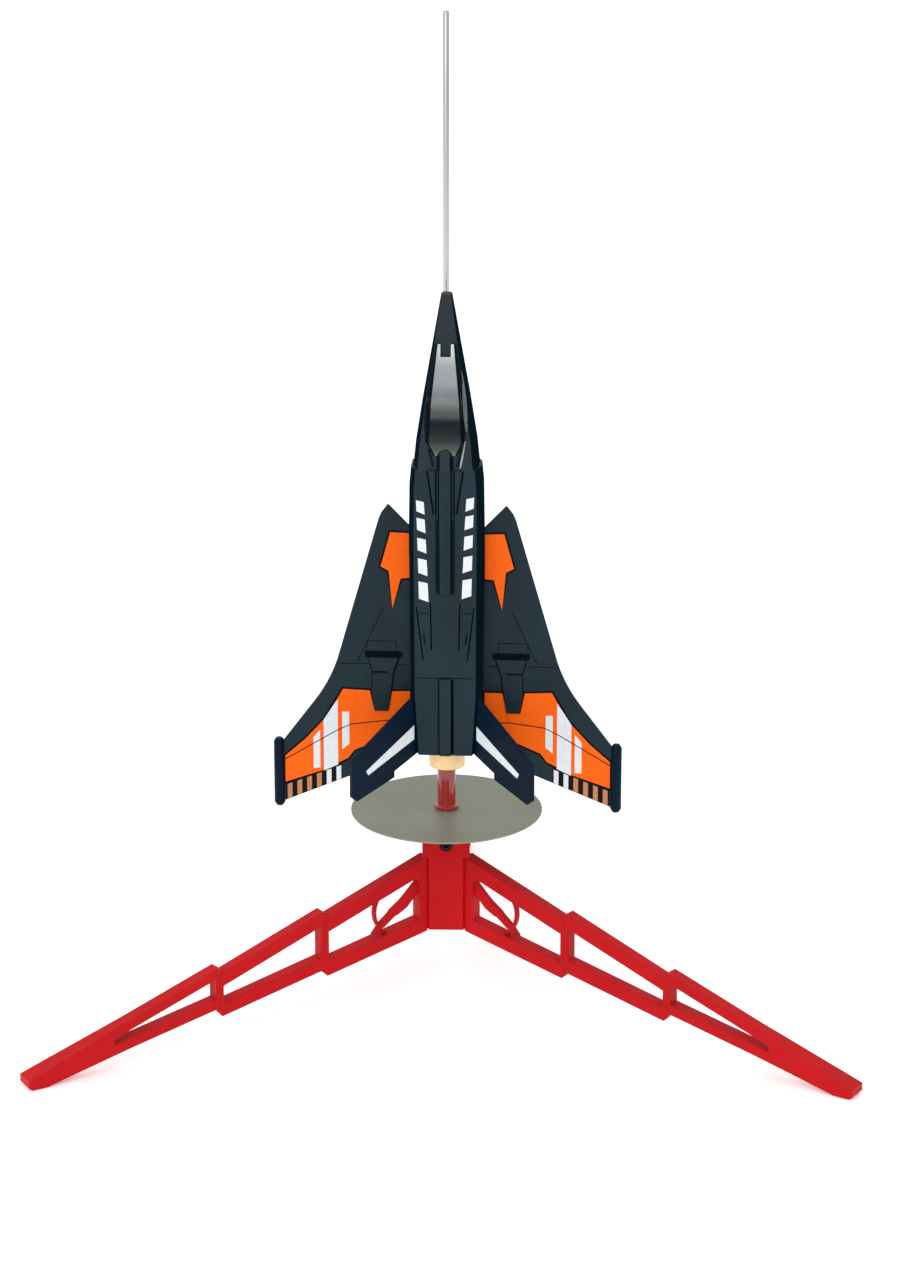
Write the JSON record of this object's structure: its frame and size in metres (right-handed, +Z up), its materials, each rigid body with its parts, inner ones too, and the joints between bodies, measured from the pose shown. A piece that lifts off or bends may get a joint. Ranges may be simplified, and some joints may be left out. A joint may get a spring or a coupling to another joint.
{
  "type": "model rocket on launch pad",
  "caption": "Jet-shaped model rocket with removable nose and motor, standing on the rod of a tripod launch pad with a tilting head.",
  "frame": {"origin": "on the floor, under the middle of the box that holds the whole assembly; the launch rod stands 61 mm from it towards -Y", "axes": "+Z up along the launch rod, -Y the side that the rocket's back and canopy face, +X to the right when looking at that side"},
  "size_m": [0.4476, 0.3876, 0.5535],
  "materials": {
    "airframe_dark": "satin moulded plastic, dark charcoal blue",
    "fin_navy": "satin moulded plastic, dark navy",
    "pad_red": "semi-gloss moulded plastic, bright red",
    "standoff_red": "glossy dark red plastic tube",
    "rod_steel": "bright drawn music wire, lightly brushed",
    "fastener_steel": "zinc-plated steel",
    "deflector_steel": "satin rolled steel sheet with a faint warm tint",
    "canopy_silver": "mirror-like silver foil with a dark gradient",
    "tube_paper": "painted spiral-wound paper tube",
    "kraft_paper": "plain brown kraft paper, spiral wound",
    "masking_tape": "cream masking tape with a slight sheen",
    "clay": "pressed dry clay",
    "propellant_black": "pressed black powder",
    "parachute_film": "thin yellow and white plastic film",
    "thread_white": "white cotton thread and flat elastic",
    "wadding_tissue": "crumpled flame-resistant tissue",
    "decal_orange": "printed film, satin orange",
    "decal_white": "printed film, satin white",
    "decal_black": "printed film, black and dark grey lines"
  },
  "bodies": {
    "tripod": {"pad_hub": "pad_red", "pivot_bolt": "fastener_steel", "pivot_nut": "fastener_steel", "leg_rear_inner": "pad_red", "leg_rear_middle": "pad_red", "leg_rear_outer": "pad_red", "leg_left_inner": "pad_red", "leg_left_middle": "pad_red", "leg_left_outer": "pad_red", "leg_right_inner": "pad_red", "leg_right_middle": "pad_red", "leg_right_outer": "pad_red"},
    "head": {"tilt_head": "pad_red", "rod_lower": "rod_steel"},
    "rod_top": {"rod_upper": "rod_steel"},
    "deflector": {"deflector_plate": "deflector_steel", "standoff": "standoff_red"},
    "rocket": {"body_tube": "tube_paper", "fuselage_upper": "airframe_dark", "fuselage_lower": "airframe_dark", "wing_left": "airframe_dark", "wing_right": "airframe_dark", "wing_rail_left": "airframe_dark", "wing_rail_right": "airframe_dark", "tail_fin_left": "fin_navy", "tail_fin_right": "fin_navy", "launch_lug_front": "tube_paper", "launch_lug_rear": "tube_paper", "motor_tube": "kraft_paper", "centering_ring_front": "kraft_paper", "centering_ring_rear": "kraft_paper", "thrust_ring": "kraft_paper", "shock_cord_anchor": "kraft_paper", "shock_cord": "thread_white", "parachute": "parachute_film", "shroud_lines": "thread_white", "recovery_wadding": "wadding_tissue"},
    "nose": {"nose_cone": "airframe_dark", "nose_plug": "airframe_dark", "nose_weight": "clay", "canopy": "canopy_silver"},
    "motor": {"motor_casing": "kraft_paper", "motor_nozzle": "clay", "propellant": "propellant_black", "delay_charge": "propellant_black", "ejection_charge": "propellant_black", "clay_cap": "clay", "retaining_tape": "masking_tape"}
  },
  "joints": [
    {"name": "head_tilt", "type": "hinge", "parent": "tripod", "child": "head", "pos_m": [0, -0.06115, 0.095], "axis": [0, 1, 0], "range_deg": [-30, 30]},
    {"name": "deflector_spin", "type": "hinge", "parent": "head", "child": "deflector", "pos_m": [0, -0.06115, 0.1115], "axis": [0, 0, 1], "continuous": true},
    {"name": "rod_top_pull", "type": "slide", "parent": "head", "child": "rod_top", "axis": [0, 0, 1], "range_m": [0, 0.02]},
    {"name": "rocket_lift", "type": "slide", "parent": "head", "child": "rocket", "axis": [0, 0, 1], "range_m": [0, 0.4]},
    {"name": "nose_pull", "type": "slide", "parent": "rocket", "child": "nose", "axis": [0, 0, 1], "range_m": [0, 0.06]},
    {"name": "motor_pull", "type": "slide", "parent": "rocket", "child": "motor", "axis": [0, 0, -1], "range_m": [0, 0.03]}
  ]
}
